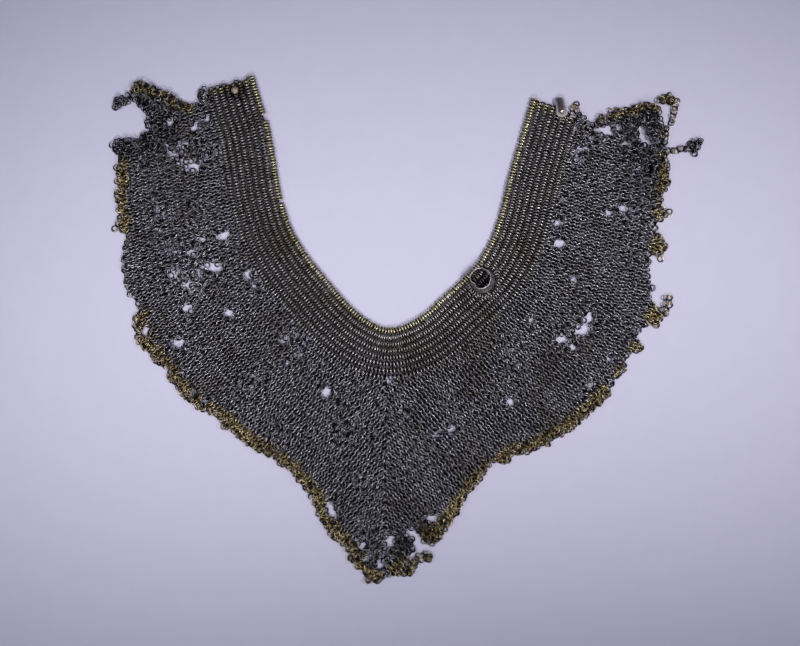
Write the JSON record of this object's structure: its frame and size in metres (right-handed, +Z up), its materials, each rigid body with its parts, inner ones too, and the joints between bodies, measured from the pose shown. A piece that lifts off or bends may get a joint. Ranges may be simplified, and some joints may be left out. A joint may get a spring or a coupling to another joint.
{
  "type": "mail collar",
  "caption": "Open mail collar lying flat: close neck band with a stud, a strap end and a tube ring, ragged cape with brass hem pieces, holes and loose strands of links.",
  "frame": {"origin": "middle of the footprint, on the surface that the mail lies on", "axes": "+X across the shoulders towards the side with the strap end, +Y from the point of the V towards the open top, +Z up"},
  "size_m": [0.4766, 0.4074, 0.0167],
  "materials": {
    "steel_mail": "dark patinated",
    "brass_mail": "tarnished",
    "copper_stud": "worn copper alloy",
    "strap_metal": "worn",
    "bright_rivet": "bright",
    "ring_steel": "worn bright at the rim"
  },
  "bodies": {
    "root": {"neck_band": "steel_mail", "cape": "steel_mail", "strand_flap_left": "steel_mail", "strand_side_right": "steel_mail", "neck_edging": "brass_mail", "band_end_left": "brass_mail", "band_end_right": "brass_mail", "hem_flap_left": "brass_mail", "hem_side_left": "brass_mail", "hem_lower_left": "brass_mail", "hem_lower_right": "brass_mail", "hem_side_right": "brass_mail", "hem_flap_right": "brass_mail", "strand_flap_right": "brass_mail", "strand_hook": "brass_mail", "strand_point": "brass_mail", "strand_corner": "brass_mail", "collar_stud": "copper_stud", "strap_tab": "strap_metal", "tab_rivet": "bright_rivet", "band_ring": "ring_steel"}
  },
  "joints": []
}
